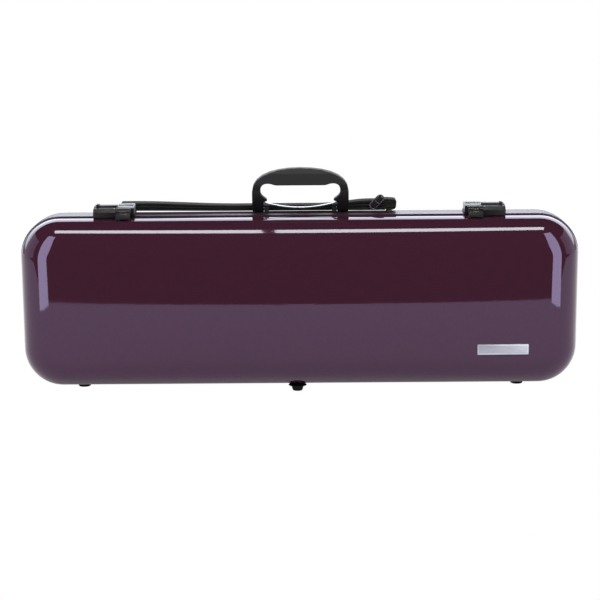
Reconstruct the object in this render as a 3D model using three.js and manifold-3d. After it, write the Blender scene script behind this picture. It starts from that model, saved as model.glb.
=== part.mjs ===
// Oblong hard violin case, standing on its long hinge side with the lid facing -Y.
// Millimetres. +X along the length, +Z up towards the handle, Z = 0 at the foot soles.
import * as THREE from 'three';
import { mergeVertices } from 'three/addons/utils/BufferGeometryUtils.js';
import Module from 'manifold-3d';

const wasm = await Module();
wasm.setup();

// ---------------------------------------------------------------- driving dimensions
const GAP = 0.3; // clearance kept between touching pieces
const FOOT_HEIGHT = 7; // floor to the lowest line of the base
const WALL = 3; // thickness of the moulded shells
const RIM_Y = -8.3; // plane of the base rim
const SEAL = 3; // thickness of the rim seal
const LID_RIM_Y = RIM_Y - SEAL - 0.4; // plane of the lid rim

// A pan is a moulded half of the case: rounded outline, filleted edge, crowned face.
const BASE = { halfLength: 400, halfHeight: 123, corner: 58, depth: 70, fillet: 32, power: 4.5, crown: 5 };
const LID = { halfLength: 398, halfHeight: 121, corner: 56, depth: 48, fillet: 46, power: 2.4, crown: 7 };
const MID_Z = FOOT_HEIGHT + BASE.halfHeight;
const BASE_TOP = MID_Z + BASE.halfHeight;
const LID_TOP = MID_Z + LID.halfHeight;
const LID_BOTTOM = MID_Z - LID.halfHeight;

const INSERT_TOP = RIM_Y + 2; // face of the foam insert
const INSERT_OFFSET = 5.8; // insert surface inside the outer surface of the base
const LINING_OFFSET = 3.8; // lid lining surface inside the outer surface of the lid
const LINING_THICKNESS = 4;
const LINING_START = 13; // lid lining begins this deep inside the lid

const HINGE_X = [-250, 0, 250];
const HINGE_WIDTH = 60;
const HINGE_AXIS = { y: RIM_Y - 3.2, z: LID_BOTTOM + 0.6 };
const KNUCKLE_RADIUS = 2.3;
const HINGE_PIN_RADIUS = 0.9;

const HANDLE_Y = RIM_Y + 22;
const HANDLE_PIVOT_Z = 259.5;
const HANDLE_LEG_DEPTH = 16;
const HANDLE_GRIP_DEPTH = 25;
const HANDLE_FOOT_RADIUS = 5.8;
const HANDLE_LUG_RADIUS = 4.2;
const HANDLE_HALF_WIDTH = 69.5;
const HANDLE_TOP = 318;
const HANDLE_X = 1.6; // the handle sits this far to the right of the middle
const HANDLE_PIN_RADIUS = 2;

const LATCH_INNER = 235.5; // nearest and farthest |x| of a latch
const LATCH_OUTER = 293;
const LATCH_SPLIT = 261; // housing outside this |x|, plate and clip inside it
const CLIP_PIVOT = { y: RIM_Y - 1, z: 262.4 };
const CLIP_PIN_RADIUS = 1.2;

const STRAP_Y = RIM_Y + 46;
const STRAP_WIDTH = 25;
const STRAP_LAYER = 2.4;
const STRAP_STEP = 2.8;

const REAR_FOOT = { x: 316.5, y: RIM_Y + 15 };
const FRONT_FOOT = { x: -4.3, y: RIM_Y - 20 };

const BOW_Z = 45; // bow height above and below the middle of the lid
const SPINNER_X = -285;
const POCKET_X = 325;

// ---------------------------------------------------------------- materials
function finish(color, roughness, metalness = 0) {
  return new THREE.MeshStandardMaterial({ color, roughness, metalness });
}
const PURPLE = finish(0x3e1a2e, 0.08, 0.2);
const BLACK = finish(0x1b1c1c, 0.5);
const RUBBER = finish(0x101010, 0.8);
const STEEL = finish(0xb4bac6, 0.3, 1);
const DARK_METAL = finish(0x2a2b2e, 0.35, 0.8);
const WEBBING = finish(0x1c1d1c, 0.9);
const PLUSH = finish(0x30222f, 0.95);
const LINING = finish(0x4a4048, 0.95);
const CLEAR = finish(0xc9c9c4, 0.2);

// ---------------------------------------------------------------- helpers
const model = new THREE.Group();

function add(name, geometry, material) {
  const mesh = new THREE.Mesh(geometry, material);
  mesh.name = name;
  model.add(mesh);
  return mesh;
}

function toSolid(geometry) {
  const bare = geometry.clone();
  bare.deleteAttribute('normal');
  bare.deleteAttribute('uv');
  const merged = mergeVertices(bare, 1e-4);
  const vertProperties = new Float32Array(merged.attributes.position.array);
  const triVerts = new Uint32Array(merged.index.array);
  return new wasm.Manifold(new wasm.Mesh({ numProp: 3, vertProperties, triVerts }));
}

function toGeometry(solid) {
  const mesh = solid.getMesh();
  const geometry = new THREE.BufferGeometry();
  geometry.setAttribute('position', new THREE.BufferAttribute(new Float32Array(mesh.vertProperties), 3));
  geometry.setIndex([...mesh.triVerts]);
  return geometry;
}

function cut(geometry, ...tools) {
  return toGeometry(tools.reduce((solid, tool) => solid.subtract(toSolid(tool)), toSolid(geometry)));
}

function join(geometry, ...others) {
  return toGeometry(others.reduce((solid, other) => solid.add(toSolid(other)), toSolid(geometry)));
}

function box(x0, x1, y0, y1, z0, z1) {
  const geometry = new THREE.BoxGeometry(x1 - x0, y1 - y0, z1 - z0);
  return geometry.translate((x0 + x1) / 2, (y0 + y1) / 2, (z0 + z1) / 2);
}

function extrude(shape, depth, bevel = 0, curveSegments = 8) {
  return new THREE.ExtrudeGeometry(shape, {
    depth: depth - 2 * bevel,
    steps: 1,
    curveSegments,
    bevelEnabled: bevel > 0,
    bevelThickness: bevel,
    bevelSize: bevel,
    bevelOffset: -bevel,
    bevelSegments: 1,
  }).translate(0, 0, bevel);
}

// A shape drawn as (x, z), extruded from front to back along Y.
function plateXZ(shape, front, back, bevel, curveSegments) {
  return extrude(shape, back - front, bevel, curveSegments).rotateX(Math.PI / 2).translate(0, back, 0);
}

// A shape drawn as (y, z), extruded along X.
function plateYZ(shape, x0, x1, bevel, curveSegments) {
  const turn = new THREE.Matrix4().set(0, 0, 1, 0, 1, 0, 0, 0, 0, 1, 0, 0, 0, 0, 0, 1);
  return extrude(shape, x1 - x0, bevel, curveSegments).applyMatrix4(turn).translate(x0, 0, 0);
}

function rodX(radius, x0, x1, y, z, sides = 12) {
  const geometry = new THREE.CylinderGeometry(radius, radius, x1 - x0, sides);
  return geometry.rotateZ(Math.PI / 2).translate((x0 + x1) / 2, y, z);
}

function polygon(points) {
  return new THREE.Shape(points.map(([a, b]) => new THREE.Vector2(a, b)));
}

function roundedRectangle(halfWidth, halfHeight, corner, centre = [0, 0], Kind = THREE.Shape) {
  const shape = new Kind();
  const [cx, cy] = centre;
  const w = halfWidth - corner;
  const h = halfHeight - corner;
  shape.absarc(cx + w, cy + h, corner, 0, Math.PI / 2, false);
  shape.absarc(cx - w, cy + h, corner, Math.PI / 2, Math.PI, false);
  shape.absarc(cx - w, cy - h, corner, Math.PI, 1.5 * Math.PI, false);
  shape.absarc(cx + w, cy - h, corner, 1.5 * Math.PI, 2 * Math.PI, false);
  shape.closePath();
  return shape;
}

function frameShape(halfWidth, halfHeight, corner, width, centre = [0, MID_Z]) {
  const shape = roundedRectangle(halfWidth, halfHeight, corner, centre);
  const hole = [halfWidth - width, halfHeight - width, Math.max(corner - width, 1)];
  shape.holes.push(roundedRectangle(...hole, centre, THREE.Path));
  return shape;
}

// Closed surface through a list of rings; a ring of one point is a pole.
function loft(rings) {
  const positions = [];
  const starts = rings.map((ring) => {
    const start = positions.length / 3;
    ring.forEach((point) => positions.push(point.x, point.y, point.z));
    return start;
  });
  const index = [];
  for (let i = 0; i + 1 < rings.length; i += 1) {
    const count = Math.max(rings[i].length, rings[i + 1].length);
    for (let k = 0; k < count; k += 1) {
      const next = (k + 1) % count;
      const a = starts[i] + (rings[i].length > 1 ? k : 0);
      const b = starts[i] + (rings[i].length > 1 ? next : 0);
      const c = starts[i + 1] + (rings[i + 1].length > 1 ? next : 0);
      const d = starts[i + 1] + (rings[i + 1].length > 1 ? k : 0);
      if (a !== b) index.push(a, b, c);
      if (c !== d) index.push(a, c, d);
    }
  }
  return outward(positions, index);
}

// Triangles are turned over where the closed surface would enclose a negative volume.
function outward(positions, index) {
  const corner = (i) => new THREE.Vector3().fromArray(positions, 3 * i);
  let volume = 0;
  for (let i = 0; i < index.length; i += 3) {
    volume += corner(index[i]).dot(corner(index[i + 1]).cross(corner(index[i + 2])));
  }
  const geometry = new THREE.BufferGeometry();
  geometry.setAttribute('position', new THREE.Float32BufferAttribute(positions, 3));
  geometry.setIndex(volume < 0 ? index.slice().reverse() : index);
  return geometry;
}

const CORNER_STEPS = 5;
const LONG_STEPS = 4;
const SHORT_STEPS = 2;

// Points (x, z) round a rectangle with round corners, the long sides divided evenly.
function outline(halfLength, halfHeight, corner) {
  const points = [];
  const w = halfLength - corner;
  const h = halfHeight - corner;
  const corners = [[w, h], [-w, h], [-w, -h], [w, -h]];
  corners.forEach(([cx, cz], quadrant) => {
    for (let i = 0; i <= CORNER_STEPS; i += 1) {
      const angle = (quadrant + i / CORNER_STEPS) * (Math.PI / 2);
      points.push(new THREE.Vector2(cx + corner * Math.cos(angle), cz + corner * Math.sin(angle)));
    }
    const steps = quadrant % 2 ? SHORT_STEPS : LONG_STEPS;
    const last = points[points.length - 1];
    const turn = ((quadrant + 1) * Math.PI) / 2;
    const [nx, nz] = corners[(quadrant + 1) % 4];
    const target = new THREE.Vector2(nx + corner * Math.cos(turn), nz + corner * Math.sin(turn));
    for (let i = 1; i < steps; i += 1) points.push(last.clone().lerp(target, i / steps));
  });
  return points;
}

// Rings of a pan's surface from its rim, or from startDepth inside it, to the middle of its face.
function panRings(pan, offset, rimY, side, filletSteps, capSteps, startDepth = 0) {
  const a = pan.halfLength - offset;
  const b = pan.halfHeight - offset;
  const radius = pan.corner - offset / 2;
  const place = (point, rise) => {
    const crown = pan.crown * (1 - (point.x / a) ** 2) * (1 - (point.y / b) ** 2);
    const depth = rise * (pan.depth - offset + crown);
    return new THREE.Vector3(point.x, rimY + side * depth, MID_Z + point.y);
  };
  const first = Math.asin((startDepth / (pan.depth - offset)) ** (pan.power / 2));
  const angles = [first];
  for (let i = 1; i <= filletSteps; i += 1) {
    const angle = (i / filletSteps) * (Math.PI / 2);
    if (angle > first + 0.05) angles.push(angle);
  }
  const rings = angles.map((angle) => {
    const inset = pan.fillet * (1 - Math.max(Math.cos(angle), 0) ** (2 / pan.power));
    const rise = Math.sin(angle) ** (2 / pan.power);
    const ring = outline(a - inset, b - inset, Math.max(radius - inset, 4));
    return ring.map((point) => place(point, rise));
  });
  if (startDepth) rings[0].forEach((point) => { point.y = rimY + side * startDepth; });
  const face = outline(a - pan.fillet, b - pan.fillet, Math.max(radius - pan.fillet, 4));
  for (let i = 1; i < capSteps; i += 1) {
    rings.push(face.map((point) => place(point.clone().multiplyScalar(1 - i / capSteps), 1)));
  }
  rings.push([place(new THREE.Vector2(0, 0), 1)]);
  return rings;
}

// ---------------------------------------------------------------- shells
function shell(pan, rimY, side) {
  const outer = panRings(pan, 0, rimY, side, 7, 3);
  const inner = panRings(pan, WALL, rimY, side, 5, 2);
  return loft([...inner.reverse(), ...outer]);
}

// Room for the knuckles where a rim crosses a hinge.
function hingeNotches(y0, y1, z1) {
  const half = HINGE_WIDTH / 2 + 0.6;
  return HINGE_X.map((x) => box(x - half, x + half, y0, y1, 0, z1));
}

function makeShells() {
  add('base_shell', shell(BASE, RIM_Y, 1), PURPLE);
  const lid = shell(LID, LID_RIM_Y, -1);
  add('lid_shell', cut(lid, ...hingeNotches(LID_RIM_Y - 4.6, LID_RIM_Y + 1, LID_BOTTOM + WALL + 1)), PURPLE);

  const seal = plateXZ(frameShape(397, 119.9, 55.5, 5.9), RIM_Y - SEAL, RIM_Y - GAP, 0, CORNER_STEPS);
  const opened = cut(seal, ...hingeNotches(RIM_Y - SEAL - 1, RIM_Y, HINGE_AXIS.z + 3));
  add('rim_seal', opened, RUBBER);

  const valance = frameShape(390.8, 113.8, 49, 2.6);
  add('inner_valance', plateXZ(valance, RIM_Y - 9.5, INSERT_TOP - GAP, 0, CORNER_STEPS), BLACK);
}

// ---------------------------------------------------------------- violin recess and compartments
const BODY_START = -374;
const BODY_DEPTH = 52;

// Half widths of the violin body along its length, from the lower bout to the neck.
const BODY_HALF_WIDTHS = [
  [0, 0], [4, 55], [30, 93], [75, 109], [120, 96], [160, 66], [200, 62], [245, 78],
  [290, 89], [330, 78], [357, 48], [366, 0],
];

function violinShape() {
  const upper = BODY_HALF_WIDTHS.map(([along, half]) => new THREE.Vector2(BODY_START + along, MID_Z + half));
  const lower = BODY_HALF_WIDTHS.slice(1, -1).reverse()
    .map(([along, half]) => new THREE.Vector2(BODY_START + along, MID_Z - half));
  const curve = new THREE.CatmullRomCurve3(
    [...upper, ...lower].map((point) => new THREE.Vector3(point.x, point.y, 0)), true, 'centripetal');
  const points = curve.getPoints(64).slice(0, -1);
  return new THREE.Shape(points.map((point) => new THREE.Vector2(point.x, point.y)));
}

function well(x0, x1, z0, z1, corner, depth) {
  const centre = [(x0 + x1) / 2, MID_Z + (z0 + z1) / 2];
  const shape = roundedRectangle((x1 - x0) / 2, (z1 - z0) / 2, corner, centre);
  return plateXZ(shape, INSERT_TOP - 5, INSERT_TOP + depth, 0, 4);
}

const NECK = { x0: -12, x1: 130, half: 27, depth: 38 };
const SCROLL = { x0: 118, x1: 234, half: 42, depth: 50 };
const NECK_BOX = { x0: 20, x1: 232, z0: 52, z1: 92, depth: 48 };
const END_BOX = { x0: 250, x1: 370, half: 96, depth: 48 };
const COMPARTMENT_LID = { x0: 15, x1: 237, z0: 49, z1: 95, thickness: 4 };
const TUBE = { x0: 34, x1: 226, z: -74, radius: 12, y: INSERT_TOP + 13.5 };

function makeInsert() {
  const rings = panRings(BASE, INSERT_OFFSET, RIM_Y, 1, 5, 2, INSERT_TOP - RIM_Y);
  const block = loft([[new THREE.Vector3(0, INSERT_TOP, MID_Z)], ...rings]);
  const body = plateXZ(violinShape(), INSERT_TOP - 5, INSERT_TOP + BODY_DEPTH);
  const seat = COMPARTMENT_LID;
  const rebate = seat.thickness + 0.8;
  const tools = [
    body,
    well(NECK.x0, NECK.x1, -NECK.half, NECK.half, 6, NECK.depth),
    well(SCROLL.x0, SCROLL.x1, -SCROLL.half, SCROLL.half, 20, SCROLL.depth),
    well(NECK_BOX.x0, NECK_BOX.x1, NECK_BOX.z0, NECK_BOX.z1, 8, NECK_BOX.depth),
    well(seat.x0 - 1, seat.x1 + 1, seat.z0 - 1, seat.z1 + 1, 6, rebate),
    well(END_BOX.x0, END_BOX.x1, -END_BOX.half, END_BOX.half, 24, END_BOX.depth),
    well(TUBE.x0 - 4, TUBE.x1 + 4, TUBE.z - TUBE.radius - 2.5, TUBE.z + TUBE.radius + 2.5, 5, 27),
  ];
  add('foam_insert', cut(block, ...tools), PLUSH);
}

function pad(name, x0, x1, half, y0, y1, material = LINING) {
  const shape = roundedRectangle((x1 - x0) / 2, half, 8, [(x0 + x1) / 2, MID_Z]);
  add(name, plateXZ(shape, y0, y1, 2, 3), material);
}

function makeInterior() {
  const floor = INSERT_TOP + BODY_DEPTH - GAP;
  pad('lower_body_pad', -352, -290, 62, floor - 14, floor);
  pad('upper_body_pad', -92, -36, 50, floor - 14, floor);

  const neckFloor = INSERT_TOP + NECK.depth - GAP;
  const rest = new THREE.Shape();
  const side = NECK.half - 0.6;
  rest.moveTo(neckFloor, MID_Z - side);
  rest.lineTo(neckFloor, MID_Z + side);
  rest.lineTo(neckFloor - 26, MID_Z + side);
  rest.lineTo(neckFloor - 26, MID_Z + 15);
  rest.absarc(neckFloor - 26, MID_Z, 15, Math.PI / 2, -Math.PI / 2, true);
  rest.lineTo(neckFloor - 26, MID_Z - side);
  rest.closePath();
  add('neck_cradle', plateYZ(rest, 42, 92, 0, 8), LINING);

  const strapTop = INSERT_TOP - GAP;
  const band = polygon([
    [strapTop, MID_Z - 46], [strapTop, MID_Z - 28], [strapTop - 2, MID_Z - 12],
    [strapTop - 2, MID_Z + 12], [strapTop, MID_Z + 28], [strapTop, MID_Z + 46],
    [strapTop - 1.4, MID_Z + 46], [strapTop - 1.4, MID_Z + 28], [strapTop - 3.4, MID_Z + 12],
    [strapTop - 3.4, MID_Z - 12], [strapTop - 1.4, MID_Z - 28], [strapTop - 1.4, MID_Z - 46],
  ]);
  add('neck_strap', plateYZ(band, 56, 78, 0), WEBBING);

  const lidShape = roundedRectangle(
    (COMPARTMENT_LID.x1 - COMPARTMENT_LID.x0) / 2, (COMPARTMENT_LID.z1 - COMPARTMENT_LID.z0) / 2, 4,
    [(COMPARTMENT_LID.x0 + COMPARTMENT_LID.x1) / 2, MID_Z + (COMPARTMENT_LID.z0 + COMPARTMENT_LID.z1) / 2]);
  const lidFront = INSERT_TOP + 0.2;
  add('compartment_lid', plateXZ(lidShape, lidFront, lidFront + COMPARTMENT_LID.thickness, 0, 3), PLUSH);
  const tabX = (COMPARTMENT_LID.x0 + COMPARTMENT_LID.x1) / 2;
  const tab = roundedRectangle(7, 8, 3, [tabX, MID_Z + COMPARTMENT_LID.z1 - 9]);
  add('compartment_tab', plateXZ(tab, lidFront - GAP - 1.6, lidFront - GAP, 0, 3), WEBBING);

  makeStringTube();
}

function makeStringTube() {
  const z = MID_Z + TUBE.z;
  const r = TUBE.radius;
  const wall = 1.2;
  const cup = (radius, length) => new THREE.LatheGeometry([
    [0, 0], [radius, 0], [radius, length], [radius - wall, length], [radius - wall, wall], [0, wall],
  ].map(([x, y]) => new THREE.Vector2(x, y)), 14);
  const capLength = 24;
  const tube = cup(r - 1.6, TUBE.x1 - TUBE.x0 - 4);
  tube.rotateZ(-Math.PI / 2).translate(TUBE.x0, TUBE.y, z);
  add('string_tube', tube, CLEAR);
  const cap = cup(r, capLength);
  cap.rotateZ(Math.PI / 2).translate(TUBE.x1, TUBE.y, z);
  add('string_tube_cap', cap, BLACK);
}

// ---------------------------------------------------------------- lid lining and bow holders
function liningFace(x, z) {
  const offset = LINING_OFFSET + LINING_THICKNESS;
  const a = LID.halfLength - offset;
  const b = LID.halfHeight - offset;
  const crown = LID.crown * (1 - (x / a) ** 2) * (1 - (z / b) ** 2);
  return LID_RIM_Y - (LID.depth - offset + crown);
}

function makeLidLining() {
  const outer = panRings(LID, LINING_OFFSET, LID_RIM_Y, -1, 5, 2, LINING_START);
  const inner = panRings(LID, LINING_OFFSET + LINING_THICKNESS, LID_RIM_Y, -1, 5, 2, LINING_START);
  add('lid_lining', loft([...inner.reverse(), ...outer]), LINING);
}

function makeBowHolders() {
  [['upper', BOW_Z], ['lower', -BOW_Z]].forEach(([level, z]) => {
    const face = liningFace(SPINNER_X, Math.abs(z) - 12) + 1;
    const lathe = (points) => new THREE.LatheGeometry(points.map(([x, y]) => new THREE.Vector2(x, y)), 12)
      .translate(SPINNER_X, face, MID_Z + z);
    const base = lathe([[2.6, 0], [12, 0], [12, 2.5], [8, 4], [2.6, 4], [2.6, 0]]);
    const rivet = lathe([[0, 0.4], [2, 0.4], [2, 10.4], [4.5, 10.4], [3.4, 12.4], [0, 12.8]]);
    add(`spinner_base_${level}`, base, BLACK);
    add(`spinner_rivet_${level}`, rivet, STEEL);
    const bar = roundedRectangle(7, 27, 6.9, [SPINNER_X, MID_Z + z]);
    bar.holes.push(new THREE.Path().absarc(SPINNER_X, MID_Z + z, 2.6, 0, 2 * Math.PI, true));
    add(`bow_spinner_${level}`, plateXZ(bar, face + 4.4, face + 10, 0, 4), BLACK);

    const lining = liningFace(POCKET_X, Math.abs(z) + 20) + 1;
    const pocket = new THREE.Shape();
    pocket.absarc(lining, MID_Z + z, 17, -Math.PI / 2, Math.PI / 2, false);
    pocket.lineTo(lining, MID_Z + z + 14);
    pocket.absarc(lining, MID_Z + z, 14, Math.PI / 2, -Math.PI / 2, true);
    pocket.closePath();
    add(`bow_tip_pocket_${level}`, plateYZ(pocket, POCKET_X - 18, POCKET_X + 18, 0, 10), PLUSH);
  });
}

// ---------------------------------------------------------------- hinges
function makeHinges() {
  const { y, z } = HINGE_AXIS;
  const lidInner = LID_BOTTOM + WALL + 1.2;
  const baseInner = FOOT_HEIGHT + WALL + 0.9;
  const barrel = (x0, x1) => rodX(KNUCKLE_RADIUS, x0, x1, y, z, 14);
  HINGE_X.forEach((x, i) => {
    const half = HINGE_WIDTH / 2;
    const third = HINGE_WIDTH / 3;
    const middle = [x - third / 2, x + third / 2];
    const ends = [[x - half, middle[0] - 0.5], [middle[1] + 0.5, x + half]];
    const bore = rodX(HINGE_PIN_RADIUS + GAP, x - half - 1, x + half + 1, y, z, 10);

    const clear = box(middle[0] - 0.5, middle[1] + 0.5, y - 4, y + 3, z - 4, z + 2.9);
    const plate = box(x - half, x + half, y + 0.4, RIM_Y + 15, baseInner, baseInner + 1.2);
    const baseLeaf = join(plate, ...ends.map(([x0, x1]) => barrel(x0, x1)));
    add(`hinge_base_leaf_${i + 1}`, cut(baseLeaf, clear, bore), STEEL);

    const web = box(middle[0], middle[1], y - 3.8, y - 2.4, z - 0.6, lidInner + 1);
    const foot = box(middle[0], middle[1], y - 3.8, y - 1.2, z - 0.6, z + 0.6);
    const flange = box(x - half, x + half, LID_RIM_Y - 8.5, y - 2.4, lidInner, lidInner + 1);
    add(`hinge_lid_leaf_${i + 1}`, cut(join(barrel(...middle), web, foot, flange), bore), STEEL);

    add(`hinge_pin_${i + 1}`, rodX(HINGE_PIN_RADIUS, x - half, x + half, y, z, 10), STEEL);
  });
}

// ---------------------------------------------------------------- handle
function handleShape() {
  const shape = new THREE.Shape();
  const w = HANDLE_HALF_WIDTH;
  const foot = HANDLE_PIVOT_Z - HANDLE_FOOT_RADIUS;
  shape.moveTo(-w, foot + 3);
  shape.lineTo(-w, 284);
  shape.bezierCurveTo(-w, 307, -40, HANDLE_TOP, 0, HANDLE_TOP);
  shape.bezierCurveTo(40, HANDLE_TOP, w, 307, w, 284);
  shape.lineTo(w, foot + 3);
  shape.lineTo(w - 3, foot);
  shape.lineTo(w - 16.5, foot);
  shape.lineTo(w - 16.5, 269.4);
  shape.lineTo(w - 22, 271);
  shape.bezierCurveTo(w - 21.5, 276, w - 12, 276.5, w - 12, 284.5);
  shape.bezierCurveTo(w - 12, 293, w - 16, 296.3, w - 22.5, 296.3);
  shape.bezierCurveTo(w - 30, 296.3, w - 29, 293.6, w - 37, 293.6);
  shape.lineTo(-w + 37, 293.6);
  shape.bezierCurveTo(-w + 29, 293.6, -w + 30, 296.3, -w + 22.5, 296.3);
  shape.bezierCurveTo(-w + 16, 296.3, -w + 12, 293, -w + 12, 284.5);
  shape.bezierCurveTo(-w + 12, 276.5, -w + 21.5, 276, -w + 22, 271);
  shape.lineTo(-w + 16.5, 269.4);
  shape.lineTo(-w + 16.5, foot);
  shape.lineTo(-w + 3, foot);
  shape.closePath();
  return shape;
}

// Side view of the handle as (y, z): round about the pivot, slim legs, full-depth grip.
function handleSideShape() {
  const shape = new THREE.Shape();
  const [leg, grip] = [HANDLE_LEG_DEPTH / 2, HANDLE_GRIP_DEPTH / 2];
  shape.absarc(HANDLE_Y, HANDLE_PIVOT_Z, HANDLE_FOOT_RADIUS, Math.PI, 2 * Math.PI, false);
  shape.lineTo(HANDLE_Y + leg, HANDLE_PIVOT_Z + 12);
  shape.lineTo(HANDLE_Y + leg, HANDLE_PIVOT_Z + 26);
  shape.lineTo(HANDLE_Y + grip, HANDLE_PIVOT_Z + 36);
  shape.lineTo(HANDLE_Y + grip, HANDLE_TOP - 8);
  shape.lineTo(HANDLE_Y + grip - 5, HANDLE_TOP + 1);
  shape.lineTo(HANDLE_Y - grip + 5, HANDLE_TOP + 1);
  shape.lineTo(HANDLE_Y - grip, HANDLE_TOP - 8);
  shape.lineTo(HANDLE_Y - grip, HANDLE_PIVOT_Z + 36);
  shape.lineTo(HANDLE_Y - leg, HANDLE_PIVOT_Z + 26);
  shape.lineTo(HANDLE_Y - leg, HANDLE_PIVOT_Z + 12);
  shape.closePath();
  return shape;
}

// The bright strip hangs between the legs in a shallow arc, just under the inner hooks.
function stripShape() {
  const end = HANDLE_HALF_WIDTH - 16.8;
  const shape = new THREE.Shape();
  shape.moveTo(-end, 267.9);
  shape.quadraticCurveTo(0, 251.3, end, 267.9);
  shape.lineTo(end, 269.1);
  shape.quadraticCurveTo(0, 252.5, -end, 269.1);
  shape.closePath();
  return shape;
}

function makeHandle() {
  const half = HANDLE_GRIP_DEPTH / 2;
  const front = plateXZ(handleShape(), HANDLE_Y - half, HANDLE_Y + half, 0, 7);
  const side = plateYZ(handleSideShape(), -HANDLE_HALF_WIDTH - 1, HANDLE_HALF_WIDTH + 1, 0, 4);
  const body = toGeometry(toSolid(front).intersect(toSolid(side)));
  const inner = HANDLE_HALF_WIDTH - 24;
  const outer = HANDLE_HALF_WIDTH - 5;
  const bores = [[-outer, -inner], [inner, outer]]
    .map(([x0, x1]) => rodX(HANDLE_PIN_RADIUS + GAP, x0 - 1, x1 + 1, HANDLE_Y, HANDLE_PIVOT_Z));
  const pieces = [
    add('handle', cut(body, ...bores), BLACK),
    add('handle_strip', plateXZ(stripShape(), HANDLE_Y - 4, HANDLE_Y + 4, 0, 10), STEEL),
  ];

  const foot = HANDLE_HALF_WIDTH - 17;
  const plate = box(-foot, foot, HANDLE_Y - 4.5, HANDLE_Y + 9, BASE_TOP + GAP, BASE_TOP + 1.4);
  const lugs = [-1, 1].map((sign) => {
    const lug = new THREE.Shape();
    lug.absarc(HANDLE_Y, HANDLE_PIVOT_Z, HANDLE_LUG_RADIUS, 0, Math.PI, false);
    lug.lineTo(HANDLE_Y - HANDLE_LUG_RADIUS, BASE_TOP + 1);
    lug.lineTo(HANDLE_Y + HANDLE_LUG_RADIUS, BASE_TOP + 1);
    lug.closePath();
    const ends = [sign * inner, sign * (inner + 6.6)].sort((a, b) => a - b);
    return plateYZ(lug, ...ends, 0, 4);
  });
  pieces.push(add('handle_mount', cut(join(plate, ...lugs), ...bores), BLACK));
  [['left', -1], ['right', 1]].forEach(([name, sign]) => {
    const ends = [sign * (inner + 0.4), sign * (outer - 0.6)].sort((a, b) => a - b);
    const pin = rodX(HANDLE_PIN_RADIUS, ...ends, HANDLE_Y, HANDLE_PIVOT_Z);
    pieces.push(add(`handle_pin_${name}`, pin, STEEL));
  });
  pieces.forEach((piece) => { piece.position.x = HANDLE_X; });
}

// ---------------------------------------------------------------- latches
function mirrored(side, inner, outer) {
  return side > 0 ? [inner, outer] : [-outer, -inner];
}

function makeLatch(name, side) {
  const y = (w) => RIM_Y + w;
  const bed = BASE_TOP + 0.4;
  const clipTip = 251.3;
  const housing = polygon([
    [y(-3.9), bed], [y(-3.9), clipTip], [y(-14), clipTip], [y(-14.8), 254], [y(-14.3), 259.5],
    [y(-11.5), 263.3], [y(-7), 265], [y(-2.5), 265.4], [y(-1.5), 264.6], [y(0), 266], [y(6), 266.8],
    [y(24), 266.2], [y(30), 263.5], [y(32), 260], [y(32), bed],
  ]);
  const block = plateYZ(housing, ...mirrored(side, LATCH_SPLIT, LATCH_OUTER), 0);
  const bedPlate = box(...mirrored(side, LATCH_INNER, LATCH_SPLIT + 2), y(-2.6), y(31), bed, bed + 2.6);
  const lugEnds = mirrored(side, LATCH_INNER + 0.6, LATCH_INNER + 4);
  const lug = box(...lugEnds, y(-3.6), y(2.2), bed, CLIP_PIVOT.z + 2.4);
  const bore = rodX(CLIP_PIN_RADIUS + GAP, ...mirrored(side, LATCH_INNER - 1, LATCH_SPLIT + 6), CLIP_PIVOT.y,
    CLIP_PIVOT.z, 10);
  add(`latch_housing_${name}`, cut(join(block, bedPlate, lug), bore), BLACK);

  const plate = polygon([
    [y(3.6), bed + 3], [y(3.6), 264.2], [y(5), 265.2], [y(25), 267.6], [y(28), 266.8],
    [y(30), 264], [y(30), bed + 3],
  ]);
  add(`latch_plate_${name}`, plateYZ(plate, ...mirrored(side, LATCH_INNER + 1, LATCH_SPLIT - 0.6), 0), STEEL);

  const clip = polygon([
    [y(0.9), 261], [y(1.5), 263], [y(0.5), 265], [y(-6), 265], [y(-13.5), 262.4], [y(-20), 258],
    [y(-24), clipTip], [y(-21.2), clipTip], [y(-17.6), 256], [y(-12), 259.4], [y(-5), 261],
  ]);
  const clipEnds = mirrored(side, LATCH_INNER + 4.5, LATCH_SPLIT - 0.6);
  add(`latch_clip_${name}`, cut(plateYZ(clip, ...clipEnds, 0), bore), DARK_METAL);
  const pinEnds = mirrored(side, LATCH_INNER + 0.4, LATCH_SPLIT + 5.4);
  add(`latch_pin_${name}`, rodX(CLIP_PIN_RADIUS, ...pinEnds, CLIP_PIVOT.y, CLIP_PIVOT.z, 10), STEEL);

  const keeperEnds = mirrored(side, LATCH_INNER + 8, LATCH_SPLIT - 3);
  const keeper = box(...keeperEnds, y(-17), y(-6), LID_TOP + GAP, LID_TOP + 1.1);
  add(`latch_keeper_${name}`, keeper, STEEL);
}

// ---------------------------------------------------------------- feet and nameplate
function footGeometry(points, x, y) {
  return new THREE.LatheGeometry(points.map(([r, z]) => new THREE.Vector2(r, z)), 16)
    .rotateX(Math.PI / 2).translate(x, y, 0);
}

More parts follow.
